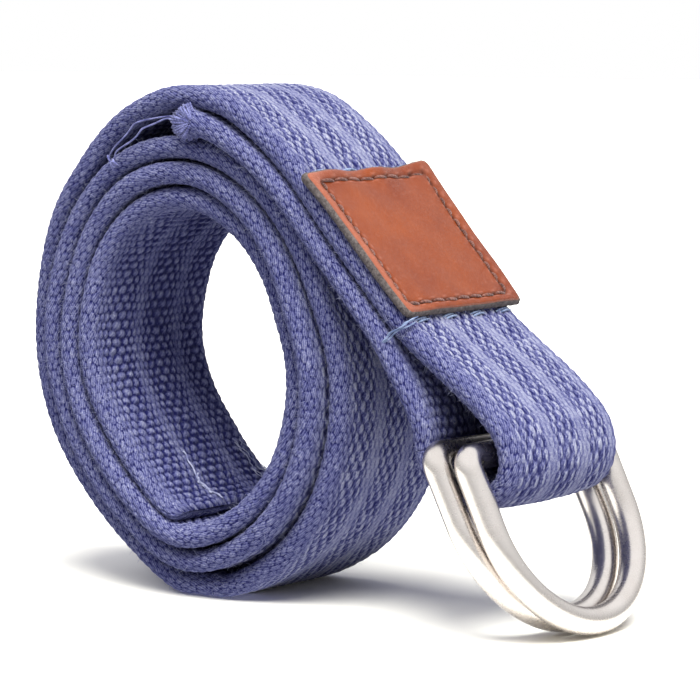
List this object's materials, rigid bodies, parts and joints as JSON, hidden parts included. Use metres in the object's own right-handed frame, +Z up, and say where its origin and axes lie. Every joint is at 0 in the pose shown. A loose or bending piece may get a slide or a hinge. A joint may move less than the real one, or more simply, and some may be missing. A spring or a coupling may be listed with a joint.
{
  "type": "canvas webbing belt with double d-ring fastening",
  "caption": "Rolled-up cotton webbing belt with a stitched leather patch and a doubled end that holds metal D-rings to fasten it.",
  "frame": {"origin": "middle of the footprint, on the floor the belt stands on", "axes": "+X along the belt from the roll to the rings, +Y across the webbing's width, away from the viewer of the picture, +Z up"},
  "size_m": [0.1328, 0.0504, 0.1023],
  "materials": {
    "canvas": "slate-blue woven cotton webbing, ribbed along its length, matt and slightly fuzzy",
    "nickel": "satin-polished nickel plate",
    "leather": "smooth tan leather with a grey-brown raw edge, stitched round in brown thread"
  },
  "bodies": {
    "root": {"strap": "canvas", "d_ring_front": "nickel", "d_ring_back": "nickel", "leather_patch": "leather"}
  },
  "joints": []
}
